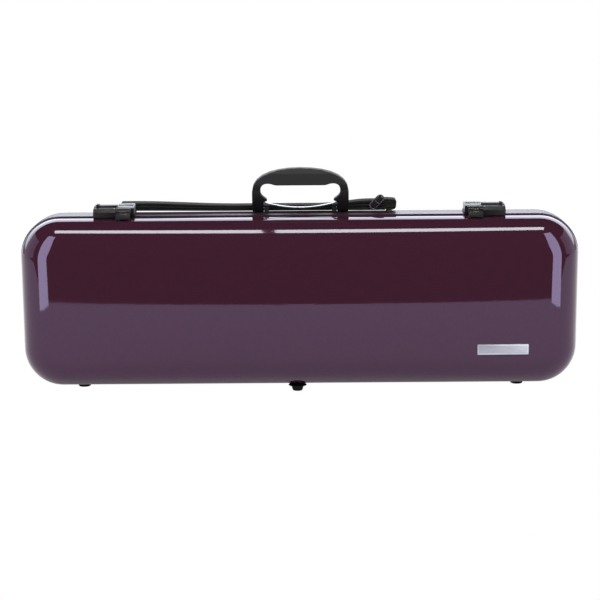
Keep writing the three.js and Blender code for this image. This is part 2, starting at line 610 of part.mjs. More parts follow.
function makeFeet() {
  const top = FOOT_HEIGHT - GAP;
  const low = [
    [0, 0], [7.8, 0], [8.8, 0.8], [9.8, top - 2.4], [13, top - 2.1], [13, top], [3, top], [3, 3], [0, 3],
  ];
  add('rear_foot_left', footGeometry(low, -REAR_FOOT.x, REAR_FOOT.y), RUBBER);
  add('rear_foot_right', footGeometry(low, REAR_FOOT.x, REAR_FOOT.y), RUBBER);
  const high = [
    [0, 0], [6.2, 0], [7.2, 1], [8.2, 4], [8.9, 7.4], [13, 7.8], [13, LID_BOTTOM - GAP],
    [3, LID_BOTTOM - GAP], [3, 3], [0, 3],
  ];
  add('front_foot', footGeometry(high, FRONT_FOOT.x, FRONT_FOOT.y), RUBBER);
  const screw = (x, y, z) => footGeometry([[0, 3.3], [2.6, 3.3], [2.6, z], [0, z]], x, y);
  add('rear_foot_screw_left', screw(-REAR_FOOT.x, REAR_FOOT.y, top - 0.2), STEEL);
  add('rear_foot_screw_right', screw(REAR_FOOT.x, REAR_FOOT.y, top - 0.2), STEEL);
  add('front_foot_screw', screw(FRONT_FOOT.x, FRONT_FOOT.y, LID_BOTTOM - GAP - 0.2), STEEL);
}

const NAMEPLATE = { x: 287.5, z: 66 - MID_Z, length: 73, height: 15, thickness: 0.9 };

function makeNameplate() {
  const { x, z } = NAMEPLATE;
  const a = LID.halfLength;
  const b = LID.halfHeight;
  const crown = LID.crown * (1 - (x / a) ** 2) * (1 - (z / b) ** 2);
  const slopeX = (-2 * LID.crown * x * (1 - (z / b) ** 2)) / a ** 2;
  const slopeZ = (-2 * LID.crown * z * (1 - (x / a) ** 2)) / b ** 2;
  const shape = roundedRectangle(NAMEPLATE.length / 2, NAMEPLATE.height / 2, 1.2);
  const plate = plateXZ(shape, -NAMEPLATE.thickness, 0, 0.25, 3);
  const mesh = add('nameplate', plate, STEEL);
  mesh.position.set(x, LID_RIM_Y - LID.depth - crown - 0.7, MID_Z + z);
  mesh.rotation.set(-Math.atan(slopeZ), 0, -Math.atan(slopeX));
}

// ---------------------------------------------------------------- carrying strap
const STRAP_START = -264;
const STRAP_END = 116.5;
const STRAP_BOTTOM = BASE_TOP + 1.2;
// How far each layer of the folded strap lifts at its left and right end.
const STRAP_LAYERS = [
  { name: 'lower', leftLift: 1, rightLift: 1.2 },
  { name: 'middle', leftLift: 2.7, rightLift: 3.2 },
  { name: 'upper', leftLift: 4.4, rightLift: 5.4 },
];

function ribbon(x0, x1, bottom, { leftLift, rightLift }) {
  const steps = 18;
  const points = [];
  for (let i = 0; i <= steps; i += 1) {
    const x = THREE.MathUtils.lerp(x0, x1, i / steps);
    const left = THREE.MathUtils.smoothstep(-x, 90, 240) * leftLift;
    const right = THREE.MathUtils.smoothstep(x, 30, 105) * rightLift;
    points.push([x, bottom + left + right]);
  }
  const top = points.map(([x, z]) => [x, z + STRAP_LAYER]).reverse();
  return plateXZ(polygon([...points, ...top]), STRAP_Y - STRAP_WIDTH / 2, STRAP_Y + STRAP_WIDTH / 2, 0);
}

function makeStrap() {
  STRAP_LAYERS.forEach((layer, i) => {
    const strap = ribbon(STRAP_START + 3 * i, STRAP_END - i, STRAP_BOTTOM + i * STRAP_STEP, layer);
    add(`strap_${layer.name}`, strap, WEBBING);
  });
  const [front, back] = [STRAP_Y - STRAP_WIDTH / 2, STRAP_Y + STRAP_WIDTH / 2];
  const bundle = polygon([
    [118, 255], [119, 269.5], [122, 271.6], [134, 270.6],
    [138, 266], [141.5, 255.5], [139, 254.3], [119, 254.3],
  ]);
  add('strap_bundle', plateXZ(bundle, front, back, 1, 2), WEBBING);
  const slider = frameShape(12, 4.9, 4.8, 1.9, [0, 0]);
  const sliderMesh = add('strap_slider', plateXZ(slider, -1.4, 1.4, 0, 3), DARK_METAL);
  sliderMesh.position.set(112, front - 2.2, 266);
  sliderMesh.rotation.set(0, -0.8, 0);
  [['left', STRAP_START + 6], ['right', 130]].forEach(([name, x]) => {
    const anchor = box(x - 4.5, x + 4.5, STRAP_Y - 9, STRAP_Y + 9, BASE_TOP - 0.1, BASE_TOP + 0.9);
    add(`strap_anchor_${name}`, anchor, STEEL);
  });
}

// ---------------------------------------------------------------- assembly
makeShells();
makeInsert();
makeInterior();
makeLidLining();
makeBowHolders();
makeHinges();
makeHandle();
makeLatch('left', -1);
makeLatch('right', 1);
makeFeet();
makeNameplate();
makeStrap();

export default model;
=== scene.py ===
import math

import bmesh
import bpy
from mathutils import Matrix, Vector, noise


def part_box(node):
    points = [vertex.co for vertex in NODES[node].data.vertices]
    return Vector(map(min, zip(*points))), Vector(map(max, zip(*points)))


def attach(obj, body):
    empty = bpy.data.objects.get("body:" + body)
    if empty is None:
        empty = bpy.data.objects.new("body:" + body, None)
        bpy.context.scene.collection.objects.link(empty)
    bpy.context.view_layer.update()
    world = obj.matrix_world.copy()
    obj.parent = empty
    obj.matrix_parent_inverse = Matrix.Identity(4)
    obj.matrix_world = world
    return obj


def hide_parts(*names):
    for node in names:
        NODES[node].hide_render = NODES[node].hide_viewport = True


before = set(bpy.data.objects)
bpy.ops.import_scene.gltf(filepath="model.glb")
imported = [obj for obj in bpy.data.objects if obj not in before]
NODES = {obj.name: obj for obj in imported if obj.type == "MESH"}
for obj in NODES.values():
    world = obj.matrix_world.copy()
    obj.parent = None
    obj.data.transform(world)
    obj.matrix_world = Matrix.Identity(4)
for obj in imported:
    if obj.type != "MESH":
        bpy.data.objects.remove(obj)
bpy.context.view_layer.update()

# An oblong violin case in purple high gloss, standing on its hinge edge, lid facing -Y.
# Everything is in metres; lengths written in millimetres are multiplied by MM.
MM = 0.001


# ---------------------------------------------------------------- camera and studio
def grey(value):
    return (value, value, value)


def aim(obj, target, roll=0.0):
    """Turns obj so that its -Z axis points at target, with +Y up, then rolls it."""
    direction = Vector(target) - obj.location
    turn = direction.to_track_quat("-Z", "Y").to_matrix()
    obj.rotation_euler = (turn @ Matrix.Rotation(roll, 3, "Z")).to_euler()


def make_camera():
    distance = 2.388
    elevation = math.radians(11.23)
    roll = math.radians(-0.41)
    target = Vector((0, 0, 0.1271))
    data = bpy.data.cameras.new("camera")
    data.sensor_width = 36
    data.lens = 98.9
    data.clip_end = 50
    camera = bpy.data.objects.new("camera", data)
    bpy.context.scene.collection.objects.link(camera)
    camera.location = target + distance * Vector((0, -math.cos(elevation), math.sin(elevation)))
    aim(camera, target, roll)
    bpy.context.scene.camera = camera


def stage_plane(name, corners, color, emission=0.0, camera_sees=True, casts=True, tint=(1, 1, 1)):
    mesh = bpy.data.meshes.new(name)
    mesh.from_pydata([Vector(c) for c in corners], [], [(0, 1, 2, 3)])
    obj = bpy.data.objects.new(name, mesh)
    bpy.context.scene.collection.objects.link(obj)
    material = bpy.data.materials.new(name)
    material.use_nodes = True
    shader = material.node_tree.nodes["Principled BSDF"]
    shader.inputs["Base Color"].default_value = (*color, 1)
    shader.inputs["Roughness"].default_value = 0.9
    shader.inputs["Specular IOR Level"].default_value = 0.0
    shader.inputs["Emission Color"].default_value = (*tint, 1)
    shader.inputs["Emission Strength"].default_value = emission
    mesh.materials.append(material)
    obj.visible_camera = camera_sees
    obj.visible_shadow = casts
    return obj


def area_light(name, location, target, size, power):
    """A soft light for diffuse surfaces only; the glossy ones mirror the cards instead."""
    data = bpy.data.lights.new(name, "AREA")
    data.shape = "RECTANGLE"
    data.size, data.size_y = size
    data.energy = power
    light = bpy.data.objects.new(name, data)
    bpy.context.scene.collection.objects.link(light)
    light.location = location
    aim(light, target)
    light.visible_camera = False
    light.visible_glossy = False


def gloss_card(name, corners, color, emission=0.0, tint=(1, 1, 1)):
    """A card of the studio that shows only in glossy surfaces."""
    card = stage_plane(name, corners, color, emission, camera_sees=False, casts=False, tint=tint)
    card.visible_diffuse = False
    card.visible_transmission = False
    return card


def level_card(x0, x1, y0, y1, z):
    """Corners of a rectangle lying flat at height z."""
    return [(x0, y0, z), (x1, y0, z), (x1, y1, z), (x0, y1, z)]


def facing_card(x0, x1, y, z0, z1):
    """Corners of a rectangle standing square to the camera."""
    return [(x0, y, z0), (x1, y, z0), (x1, y, z1), (x0, y, z1)]


def upright(x, y, z, half_width, half_height, turn):
    """Corners of a standing rectangle, turned about Z."""
    across = Vector((math.cos(turn), math.sin(turn), 0)) * half_width
    up = Vector((0, 0, half_height))
    centre = Vector((x, y, z))
    return [centre - across - up, centre + across - up, centre + across + up, centre - across + up]


def make_studio():
    scene = bpy.context.scene
    scene.view_settings.view_transform = "Standard"
    scene.view_settings.look = "None"
    world = bpy.data.worlds.new("studio")
    scene.world = world
    world.use_nodes = True
    background = world.node_tree.nodes["Background"]
    background.inputs["Color"].default_value = (1, 1, 1, 1)
    background.inputs["Strength"].default_value = 1.0

    wide = 6
    floor = level_card(-wide, wide, -wide, wide, 0)
    stage_plane("floor", floor, grey(0.88), emission=0.2, camera_sees=False)

    # The dark front of the studio: floor beyond the white paper, far wall and ceiling.
    paper_edge = -0.745
    far_wall = -3.2
    ceiling = 4.5
    ceiling_end = 4.9
    just_above_floor = 0.003
    dark = grey(0.01)
    gloss_card("dark_floor", level_card(-wide, wide, far_wall, paper_edge, just_above_floor), dark)
    gloss_card("dark_wall", facing_card(-wide, wide, far_wall, 0, ceiling), dark)
    gloss_card("dark_roof", level_card(-wide, wide, far_wall, ceiling_end, ceiling), dark)
    # Behind: a low grey card for the shoulder of the base, and a bright one above it for the edge of the lid.
    behind = 3.0
    cool = (0.88, 0.92, 1.0)
    for name, z0, z1, glow in (("grey_back", -0.1, 0.74, 0.52), ("bright_back", 0.74, 2.86, 3.3)):
        gloss_card(name, facing_card(-wide, wide, behind, z0, z1), dark, glow, cool)

    # Two long softboxes overhead with a narrow gap between them, and one close to each end of the case.
    warm = (0.875, 1.0, 0.664)
    box_height = 2.2
    box_glow = 18.5
    for name, x0, x1 in (("box_top_left", -0.80, -0.10), ("box_top_right", -0.065, 0.78)):
        gloss_card(name, level_card(x0, x1, -0.84, -0.31, box_height), dark, box_glow, warm)
    end_turn = math.radians(38)
    end_glow = 6.0
    for name, sign in (("box_left", -1), ("box_right", 1)):
        corners = upright(sign * 0.65, -0.596, 0.505, 0.14, 0.5, sign * end_turn)
        gloss_card(name, corners, dark, end_glow)

    area_light("key", (-0.5, -1.6, 2.4), (0, 0, 0.15), (2.2, 1.2), 30)
    area_light("fill", (1.4, -2.2, 1.4), (0, 0, 0.1), (1.6, 1.2), 8)


# ---------------------------------------------------------------- materials
class Nodes:
    """A material's node tree with short calls for adding and linking nodes."""

    def __init__(self, name):
        self.material = bpy.data.materials.new(name)
        self.material.use_nodes = True
        self.tree = self.material.node_tree
        self.shader = self.tree.nodes["Principled BSDF"]
        self.coords = self.tree.nodes.new("ShaderNodeTexCoord").outputs["Object"]

    def set(self, **values):
        for name, value in values.items():
            self.shader.inputs[name.replace("_", " ")].default_value = value

    def node(self, kind, inputs=(), **settings):
        node = self.tree.nodes.new("ShaderNode" + kind)
        for key, value in settings.items():
            setattr(node, key, value)
        for key, value in dict(inputs).items():
            socket = node.inputs[key]
            if isinstance(value, bpy.types.NodeSocket):
                self.tree.links.new(value, socket)
            else:
                socket.default_value = value
        return node

    def link(self, output, socket):
        self.tree.links.new(output, self.shader.inputs[socket])

    def noise(self, scale, detail=4, roughness=0.6, vector=None):
        values = {"Vector": vector or self.coords, "Scale": scale, "Detail": detail, "Roughness": roughness}
        return self.node("TexNoise", values).outputs["Fac"]

    def ramp(self, value, stops):
        node = self.node("ValToRGB", {"Fac": value})
        elements = node.color_ramp.elements
        for i, (place, color) in enumerate(stops):
            element = elements[i] if i < 2 else elements.new(place)
            element.position = place
            element.color = (*color, 1) if len(color) == 3 else color
        return node.outputs["Color"]

    def bump(self, height, strength, distance, normal=None):
        values = {"Height": height, "Strength": strength, "Distance": distance}
        if normal:
            values["Normal"] = normal
        return self.node("Bump", values).outputs["Normal"]


def shell_material(name, deep, bright, smooth, dull, mirror_tint):
    """Deep wine lacquer with fine flakes under a clear gloss that mirrors the studio slightly violet."""
    n = Nodes(name)
    flakes = n.node("TexVoronoi", {"Vector": n.coords, "Scale": 1500.0}, feature="F1")
    base = n.ramp(flakes.outputs["Color"], [(0.0, deep), (1.0, bright)])
    n.link(base, "Base Color")
    smudges = n.noise(7.0, 5, 0.65)
    n.link(n.ramp(smudges, [(0.35, grey(smooth)), (0.75, grey(dull))]), "Roughness")
    n.set(IOR=1.52, Specular_Tint=(*mirror_tint, 1), Coat_Weight=0.12, Coat_Roughness=smooth)
    n.link(n.bump(n.noise(240.0, 2), 0.02, 0.0004), "Normal")
    return n.material


def plastic_material(name, color, roughness, grain=2600.0, strength=0.16, painted_shade_band=None):
    """Moulded plastic with a fine spark-eroded grain and slightly polished patches.

    The last argument, if given, is (low z, high z, share): painted shade darkens the colour to that share at
    the first height and below, rising to a painted lighter tone at the second height and above.
    """
    n = Nodes(name)
    worn = n.noise(38.0, 4)
    lighter = tuple(min(c * 1.35 + 0.002, 1) for c in color)
    if painted_shade_band:
        # Painted shade and highlight by height: the colour is darker towards the bottom and lighter towards
        # the top.
        height = n.node("SeparateXYZ", {"Vector": n.coords}).outputs["Z"]
        low, high, share = painted_shade_band
        painted_light_share = n.node("MapRange", {"Value": height, "From Min": low, "From Max": high}).outputs["Result"]
        painted_shade_color = tuple(c * share for c in color)
        n.link(n.ramp(painted_light_share, [(0.0, painted_shade_color), (1.0, lighter)]), "Base Color")
    else:
        n.link(n.ramp(worn, [(0.3, color), (0.75, lighter)]), "Base Color")
    n.link(n.ramp(worn, [(0.3, grey(roughness + 0.06)), (0.8, grey(roughness - 0.06))]), "Roughness")
    n.link(n.bump(n.noise(grain, 3), strength, 0.0003), "Normal")
    n.set(Specular_IOR_Level=0.14, Specular_Tint=(1.0, 0.84, 1.0, 1))
    return n.material


def metal_material(name, color, roughness, brushed=True, stretch=(0.02, 1, 1)):
    """Metal with a drawn grain along X and slightly duller patches."""
    n = Nodes(name)
    mapping = n.node("Mapping", {"Vector": n.coords, "Scale": stretch if brushed else (1, 1, 1)})
    grain = n.noise(1800.0, 3, 0.7, mapping.outputs["Vector"])
    dull = tuple(c * 0.72 for c in color)
    n.link(n.ramp(grain, [(0.25, dull), (0.72, color)]), "Base Color")
    n.link(n.ramp(n.noise(70.0, 4), [(0.3, grey(roughness)), (0.8, grey(roughness + 0.14))]), "Roughness")
    n.link(n.bump(grain, 0.12 if brushed else 0.04, 0.0002), "Normal")
    n.set(Metallic=1.0)
    return n.material


def webbing_material():
    """Ribbed woven nylon: lengthwise ribs crossed by a fine weft, with paler worn threads."""
    n = Nodes("webbing")
    ribs = n.node("TexWave", {"Vector": n.coords, "Scale": 130.0, "Distortion": 0.35}, bands_direction="Y")
    weft = n.node("TexWave", {"Vector": n.coords, "Scale": 260.0, "Distortion": 0.5}, bands_direction="X")
    weave = n.node("Math", {0: ribs.outputs["Fac"], 1: weft.outputs["Fac"]}, operation="MULTIPLY").outputs[0]
    shade = n.node("Math", {0: weave, 1: n.noise(60.0, 4)}, operation="MULTIPLY").outputs[0]
    n.link(n.ramp(shade, [(0.05, (0.004, 0.004, 0.004)), (0.45, (0.017, 0.017, 0.016))]), "Base Color")
    n.link(n.bump(weave, 0.7, 0.0005), "Normal")
    n.set(Roughness=0.82, Specular_IOR_Level=0.15, Sheen_Weight=0.1, Sheen_Roughness=0.4)
    return n.material


def plush_material(name, color, sheen):
    """Short-pile velour: soft nap direction in large patches, single fibres in fine noise."""
    n = Nodes(name)
    nap = n.noise(16.0, 5, 0.6)
    pile = n.noise(1700.0, 3, 0.75)
    soft = n.node("Math", {0: nap, 1: 0.6}, operation="MULTIPLY").outputs[0]
    fine = n.node("Math", {0: pile, 1: 0.4}, operation="MULTIPLY").outputs[0]
    mixed = n.node("Math", {0: soft, 1: fine}, operation="ADD")
    dark = tuple(c * 0.6 for c in color)
    n.link(n.ramp(mixed.outputs[0], [(0.32, dark), (0.62, color)]), "Base Color")
    n.link(n.bump(pile, 0.55, 0.0006, n.bump(nap, 0.25, 0.002)), "Normal")
    n.set(Roughness=0.95, Sheen_Weight=sheen, Sheen_Roughness=0.35, Sheen_Tint=(0.9, 0.8, 0.92, 1))
    return n.material


def clear_material():
    """Clear tube plastic, slightly hazed by handling."""
    n = Nodes("clear_plastic")
    n.link(n.ramp(n.noise(45.0, 4), [(0.3, grey(0.06)), (0.8, grey(0.18))]), "Roughness")
    n.link(n.bump(n.noise(300.0, 2), 0.05, 0.0003), "Normal")
    n.set(Base_Color=(0.93, 0.93, 0.9, 1), Transmission_Weight=0.9, IOR=1.46)
    return n.material


SHELL = shell_material("purple_high_gloss", (0.0285, 0.0078, 0.0155), (0.0425, 0.0115, 0.0225),
                       0.022, 0.06, (0.62, 0.54, 1.0))
SATIN_SHELL = shell_material("purple_satin", (0.0305, 0.0095, 0.0205), (0.0455, 0.0140, 0.0300),
                             0.34, 0.42, (0.72, 0.70, 1.0))
PLASTIC = plastic_material("black_plastic", (0.0075, 0.0078, 0.0085), 0.36)
# The handle gets painted shade on its legs and a painted lighter tone on its grip.
GRIP = plastic_material("handle_plastic", (0.0125, 0.013, 0.0128), 0.5, 1800.0, 0.3, (0.274, 0.296, 0.2))
RUBBER = plastic_material("rubber", (0.006, 0.006, 0.006), 0.72, 1200.0, 0.35)
BRIGHT = metal_material("bright_metal", (0.36, 0.37, 0.39), 0.42)
POLISHED = metal_material("polished_metal", (0.86, 0.87, 0.88), 0.24, brushed=False)
STEEL = metal_material("steel", (0.56, 0.56, 0.57), 0.26)
DARK_METAL = metal_material("dark_metal", (0.017, 0.014, 0.021), 0.42, brushed=False)
GUNMETAL = metal_material("gunmetal", (0.105, 0.092, 0.115), 0.3, brushed=False)
PLATE = metal_material("nameplate", (0.45, 0.45, 0.54), 0.34)
WEBBING = webbing_material()
PLUSH = plush_material("plush", (0.075, 0.012, 0.030), 0.55)
LINING = plush_material("lining", (0.20, 0.17, 0.20), 0.35)
CLEAR = clear_material()


# ---------------------------------------------------------------- mesh helpers
def mesh_object(name, vertices, faces, sharp_angle):
    """A clean closed mesh with outward faces, smooth except across edges sharper than the angle."""
    mesh = bpy.data.meshes.new(name)
    mesh.from_pydata([tuple(v) for v in vertices], [], faces)
    bm = bmesh.new()
    bm.from_mesh(mesh)
    bmesh.ops.remove_doubles(bm, verts=bm.verts, dist=1e-6)
    bmesh.ops.dissolve_degenerate(bm, edges=bm.edges, dist=1e-7)
    bmesh.ops.recalc_face_normals(bm, faces=bm.faces)
    if bm.calc_volume(signed=True) < 0:
        bmesh.ops.reverse_faces(bm, faces=bm.faces)
    bm.to_mesh(mesh)
    bm.free()
    mesh.shade_smooth()
    mesh.set_sharp_from_angle(angle=math.radians(sharp_angle))
    obj = bpy.data.objects.new(name, mesh)
    bpy.context.scene.collection.objects.link(obj)
    return obj


def place(piece, body, material, slot, *nodes):
    """Gives a finished piece its material, lets it stand for CAD nodes and ride on a body; slot is not used.
    """
    piece.data.materials.clear()
    piece.data.materials.append(material)
    if nodes:
        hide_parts(*nodes)
    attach(piece, body)
    return piece


def loft(name, rings, sharp_angle, closed=False):
    """A surface through rings of equal count; a ring of one point is a pole."""
    vertices = []
    starts = []
    for ring in rings:
        starts.append(len(vertices))
        vertices.extend(ring)
    faces = []
    pairs = list(zip(range(len(rings) - 1), range(1, len(rings))))
    if closed:
        pairs.append((len(rings) - 1, 0))
    for i, j in pairs:
        count = max(len(rings[i]), len(rings[j]))
        for k in range(count):
            following = (k + 1) % count
            first = [starts[i] + k, starts[i] + following] if len(rings[i]) > 1 else [starts[i]]
            second = [starts[j] + following, starts[j] + k] if len(rings[j]) > 1 else [starts[j]]
            faces.append(first + second)
    return mesh_object(name, vertices, faces, sharp_angle)


def cad_copy(name, *nodes):
    """A new object with the shape of CAD nodes, their flat faces merged into whole polygons."""
    bm = bmesh.new()
    for node in nodes:
        bm.from_mesh(NODES[node].data)
    bmesh.ops.remove_doubles(bm, verts=bm.verts, dist=2e-6)
    bmesh.ops.dissolve_limit(bm, angle_limit=math.radians(1), verts=bm.verts, edges=bm.edges)
    mesh = bpy.data.meshes.new(name)
    bm.to_mesh(mesh)
    bm.free()
    obj = bpy.data.objects.new(name, mesh)
    bpy.context.scene.collection.objects.link(obj)
    return obj


def bake(obj):
    """Turns the object's modifiers into plain mesh."""
    depsgraph = bpy.context.evaluated_depsgraph_get()
    mesh = bpy.data.meshes.new_from_object(obj.evaluated_get(depsgraph))
    obj.modifiers.clear()
    obj.data = mesh
    return obj


def bevel(obj, width, segments):
    """Rounds the hard edges and keeps the shading crisp across them."""
    modifier = obj.modifiers.new("bevel", "BEVEL")
    modifier.width = width
    modifier.segments = segments
    modifier.limit_method = "ANGLE"
    modifier.angle_limit = math.radians(28)
    modifier.use_clamp_overlap = True
    bake(obj)
    obj.data.shade_smooth()
    obj.data.set_sharp_from_angle(angle=math.radians(32))
    return obj


def machined(node, body, material, slot, width, segments, name=None):
    """A hard part: the CAD shape with rounded edges."""
    obj = bevel(cad_copy(name or node + "_finished", node), width, segments)
    return place(obj, body, material, slot, node)


def remesh(obj, voxel, smooth):
    """Rebuilds the surface from small voxels and relaxes it."""
    modifier = obj.modifiers.new("remesh", "REMESH")
    modifier.mode = "VOXEL"
    modifier.voxel_size = voxel
    relax = obj.modifiers.new("relax", "SMOOTH")
    relax.factor = 0.5
    relax.iterations = smooth
    bake(obj)
    obj.data.shade_smooth()
    return obj


def moulded(node, body, material, slot, voxel, smooth, name):
    """A soft-edged part: the CAD shape remeshed finely and relaxed."""
    obj = remesh(cad_copy(name, node), voxel, smooth)
    return place(obj, body, material, slot, node)


def lathe(name, profile, origin, axis, segments=64):
    """A turned part from (radius, height) points, on an axis through origin."""
    origin = Vector(origin)
    turns = {"x": lambda r, s, h: (h, r, s), "y": lambda r, s, h: (r, h, s), "z": lambda r, s, h: (r, s, h)}
    rings = []
    for radius, height in profile:
        if radius == 0:
            rings.append([origin + Vector(turns[axis](0, 0, height))])
            continue
        angles = [2 * math.pi * i / segments for i in range(segments)]
        circle = [(radius * math.cos(t), radius * math.sin(t)) for t in angles]
        rings.append([origin + Vector(turns[axis](r, s, height)) for r, s in circle])
    return loft(name, rings, sharp_angle=35)


def turned_pin(node, soft, segments):
    """A plain steel pin along X with softened ends."""
    low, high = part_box(node)
    radius = (high.z - low.z) / 2
    length = high.x - low.x
    start = (low.x, (low.y + high.y) / 2, (low.z + high.z) / 2)
    profile = [(0, 0), (radius - soft, 0), (radius, soft)]
    profile += [(radius, length - soft), (radius - soft, length), (0, length)]
    place(lathe(node + "_turned", profile, start, "x", segments), "base", STEEL, "steel", node)


def tube(name, points, radius, closed=False, sides=10):
    """A round bead or wire along points."""
    curve = bpy.data.curves.new(name, "CURVE")
    curve.dimensions = "3D"
    curve.bevel_depth = radius
    curve.bevel_resolution = max(sides // 4, 1)
    curve.use_fill_caps = not closed
    spline = curve.splines.new("POLY")
    spline.points.add(len(points) - 1)
    for spot, point in zip(spline.points, points):
        spot.co = (*point, 1)
    spline.use_cyclic_u = closed
    obj = bpy.data.objects.new(name, curve)
    bpy.context.scene.collection.objects.link(obj)
    depsgraph = bpy.context.evaluated_depsgraph_get()
    mesh = bpy.data.meshes.new_from_object(obj.evaluated_get(depsgraph))
    bpy.data.objects.remove(obj)
    mesh.name = name
    mesh.shade_smooth()
    solid = bpy.data.objects.new(name, mesh)
    bpy.context.scene.collection.objects.link(solid)
    return solid


def blocks(name, boxes, width):
    """Many small rounded blocks in one mesh; each is (lowest corner, highest corner, optional matrix)."""
    bm = bmesh.new()
    for low, high, *matrix in boxes:
        low, high = Vector(low), Vector(high)
        place_it = Matrix.Translation((low + high) / 2) @ Matrix.Diagonal((*(high - low), 1))
        if matrix:
            place_it = matrix[0] @ place_it
        bmesh.ops.create_cube(bm, size=1, matrix=place_it)
    mesh = bpy.data.meshes.new(name)
    bm.to_mesh(mesh)
    bm.free()
    obj = bpy.data.objects.new(name, mesh)
    bpy.context.scene.collection.objects.link(obj)
    return bevel(obj, width, 2)


def stitches(name, points, pitch, radius=0.28 * MM):
    """A row of short raised threads along a line of points."""
    path = [Vector(p) for p in points]
    lengths = [0.0]
    for first, second in zip(path, path[1:]):
        lengths.append(lengths[-1] + (second - first).length)

    def at(distance):
        for i in range(1, len(path)):
            if lengths[i] >= distance:
                share = (distance - lengths[i - 1]) / max(lengths[i] - lengths[i - 1], 1e-9)
                return path[i - 1].lerp(path[i], share)
        return path[-1]

    bm = bmesh.new()
    for i in range(int(lengths[-1] / pitch)):
        start, end = at((i + 0.15) * pitch), at((i + 0.85) * pitch)
        turn = (end - start).to_track_quat("Z", "Y").to_matrix().to_4x4()
        stretch = Matrix.Diagonal((radius, radius, (end - start).length / 2, 1))
        bmesh.ops.create_icosphere(bm, subdivisions=1, radius=1,
                                   matrix=Matrix.Translation((start + end) / 2) @ turn @ stretch)
    mesh = bpy.data.meshes.new(name)
    bm.to_mesh(mesh)
    bm.free()
    mesh.shade_smooth()
    obj = bpy.data.objects.new(name, mesh)
    bpy.context.scene.collection.objects.link(obj)
    return obj


CLOTH_FRAMES = 20


def cushion(node, body, material, slot, voxel, pressure, cap):
    """A padded piece: the CAD block swollen by a cloth simulation, by cap at most, then smoothed."""
    obj = remesh(cad_copy(node + "_padded", node), voxel, 2)
    rest = [v.co.copy() for v in obj.data.vertices]
    cloth = obj.modifiers.new("cloth", "CLOTH")
    cloth.settings.use_pressure = True
    cloth.settings.uniform_pressure_force = pressure
    cloth.settings.effector_weights.gravity = 0
    scene = bpy.context.scene
    for step in range(1, CLOTH_FRAMES + 1):
        scene.frame_set(step)
    bake(obj)
    scene.frame_set(1)
    for vertex, home in zip(obj.data.vertices, rest):
        move = vertex.co - home
        if move.length > cap:
            vertex.co = home + move * (cap / move.length)
    subdivision = obj.modifiers.new("subdivision", "SUBSURF")
    subdivision.levels = subdivision.render_levels = 1
    bake(obj)
    obj.data.shade_smooth()
    place(obj, body, material, slot, node)
    return obj


# ---------------------------------------------------------------- the two shells
BASE_LOW, BASE_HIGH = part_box("base_shell")
LID_LOW, LID_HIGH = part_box("lid_shell")
MIDDLE_Z = (BASE_LOW.z + BASE_HIGH.z) / 2
WALL = 3 * MM
LEAST_CORNER = 4 * MM

HINGE_BOXES = [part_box(f"hinge_base_leaf_{i}") for i in (1, 2, 3)]
HINGE_CENTRES = [(low.x + high.x) / 2 for low, high in HINGE_BOXES]
NOTCH_HALF = 30.6 * MM
NOTCH_DEPTH = 4.6 * MM
NOTCH_EDGES = [centre + side * NOTCH_HALF for centre in HINGE_CENTRES for side in (-1, 1)]
# Each edge of a notch lies between two outline points this far apart, so that it stays crisp.
NOTCH_MARKS = [edge + offset for edge in NOTCH_EDGES for offset in (-0.05 * MM, 0.05 * MM)]


def beside_hinge(x):
    return any(abs(x - centre) < NOTCH_HALF for centre in HINGE_CENTRES)


def pan_sizes(low, high, side, corner, fillet, power, crown):
    """One moulded half of the case: rounded outline, filleted edge and crowned face."""
    return {
        "a": (high.x - low.x) / 2,
        "b": (high.z - low.z) / 2,
        "rim": low.y if side > 0 else high.y,
        "side": side,
        "corner": corner,
        "fillet": fillet,
        "power": power,
        "crown": crown,
        "depth": high.y - low.y - crown,
    }


BASE_PAN = pan_sizes(BASE_LOW, BASE_HIGH, 1, 58 * MM, 32 * MM, 4.5, 5 * MM)
LID_PAN = pan_sizes(LID_LOW, LID_HIGH, -1, 56 * MM, 46 * MM, 2.4, 7 * MM)


def outline(a, b, corner, corner_steps=16, long_steps=48, short_steps=10, marks=()):
    """Points (x, z) round a rectangle with round corners; marks are extra x places on the long sides."""
    w = a - corner
    h = b - corner
    long_side = sorted(set([-w + 2 * w * i / long_steps for i in range(1, long_steps)]) | set(marks))
    short_side = [-h + 2 * h * i / short_steps for i in range(1, short_steps)]
    points = []
    for quadrant, (cx, cz) in enumerate([(w, h), (-w, h), (-w, -h), (w, -h)]):
        for i in range(corner_steps + 1):
            angle = (quadrant + i / corner_steps) * math.pi / 2
            points.append((cx + corner * math.cos(angle), cz + corner * math.sin(angle)))
        if quadrant == 0:
            points += [(x, b) for x in reversed(long_side)]
        elif quadrant == 1:
            points += [(-a, z) for z in reversed(short_side)]
        elif quadrant == 2:
            points += [(x, -b) for x in long_side]
        else:
            points += [(a, z) for z in short_side]
    return points


def pan_point(pan, offset, x, z, rise):
    """The point of a pan over (x, z) at a share of its depth, on a skin set in by offset."""
    a = pan["a"] - offset
    b = pan["b"] - offset
    crown = pan["crown"] * (1 - (x / a) ** 2) * (1 - (z / b) ** 2)
    depth = rise * (pan["depth"] - offset + crown)
    return Vector((x, pan["rim"] + pan["side"] * depth, MIDDLE_Z + z))


def notch(x, z, pan):
    """How far the lid's rim is cut back where a hinge crosses its lower edge."""
    if pan["side"] > 0 or z > -pan["b"] + 12 * MM:
        return 0.0
    return NOTCH_DEPTH if beside_hinge(x) else 0.0


